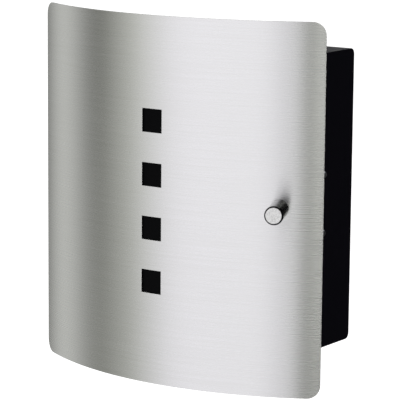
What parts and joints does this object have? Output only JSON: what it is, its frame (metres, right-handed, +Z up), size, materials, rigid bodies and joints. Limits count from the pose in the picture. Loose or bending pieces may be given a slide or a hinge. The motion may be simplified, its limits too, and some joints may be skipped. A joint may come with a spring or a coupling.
{
  "type": "wall mounted key cabinet",
  "caption": "Shallow black steel wall cabinet with a curved brushed steel door, a column of square windows, a round knob and hook rails inside.",
  "frame": {"origin": "middle of the flat back that lies on the wall", "axes": "+Z up, +X to the right of someone facing the door, -Y out of the wall towards them"},
  "size_m": [0.22, 0.0863, 0.24],
  "materials": {
    "brushed_stainless": "horizontally brushed",
    "black_powder_coat": "satin black, fine texture",
    "dark_chrome": "dark polished side, bright satin face",
    "zinc_plated_steel": "bright zinc",
    "black_pane": "matt",
    "black_plastic": "moulded satin",
    "ferrite": "sintered, matt"
  },
  "bodies": {
    "cabinet": {"cabinet_shell": "black_powder_coat", "hook_rail_upper": "black_powder_coat", "hook_rail_lower": "black_powder_coat", "catch_housing": "black_plastic", "catch_magnet": "ferrite", "hinge_cabinet_leaf_upper": "zinc_plated_steel", "hinge_cabinet_leaf_lower": "zinc_plated_steel", "hinge_pin_upper": "zinc_plated_steel", "hinge_pin_lower": "zinc_plated_steel", "hinge_rivet_1": "zinc_plated_steel", "hinge_rivet_2": "zinc_plated_steel", "hinge_rivet_3": "zinc_plated_steel", "hinge_rivet_4": "zinc_plated_steel", "rail_stud_1": "zinc_plated_steel", "rail_stud_2": "zinc_plated_steel", "rail_stud_3": "zinc_plated_steel", "rail_stud_4": "zinc_plated_steel", "rail_nut_1": "zinc_plated_steel", "rail_nut_2": "zinc_plated_steel", "rail_nut_3": "zinc_plated_steel", "rail_nut_4": "zinc_plated_steel", "key_hook_01": "zinc_plated_steel", "key_hook_02": "zinc_plated_steel", "key_hook_03": "zinc_plated_steel", "key_hook_04": "zinc_plated_steel", "key_hook_05": "zinc_plated_steel", "key_hook_06": "zinc_plated_steel", "key_hook_07": "zinc_plated_steel", "key_hook_08": "zinc_plated_steel", "key_hook_09": "zinc_plated_steel", "key_hook_10": "zinc_plated_steel", "catch_pole_left": "zinc_plated_steel", "catch_pole_right": "zinc_plated_steel", "catch_screw_upper": "zinc_plated_steel", "catch_screw_lower": "zinc_plated_steel"},
    "door": {"door_panel": "brushed_stainless", "window_pane": "black_pane", "hinge_door_leaf_upper": "zinc_plated_steel", "hinge_door_leaf_lower": "zinc_plated_steel", "knob": "dark_chrome", "knob_washer": "zinc_plated_steel", "knob_screw": "zinc_plated_steel", "strike_plate": "zinc_plated_steel"}
  },
  "joints": [
    {"name": "door_hinge", "type": "hinge", "parent": "cabinet", "child": "door", "pos_m": [-0.1048, -0.04618, 0], "axis": [0, 0, -1], "range_deg": [0, 110]}
  ]
}
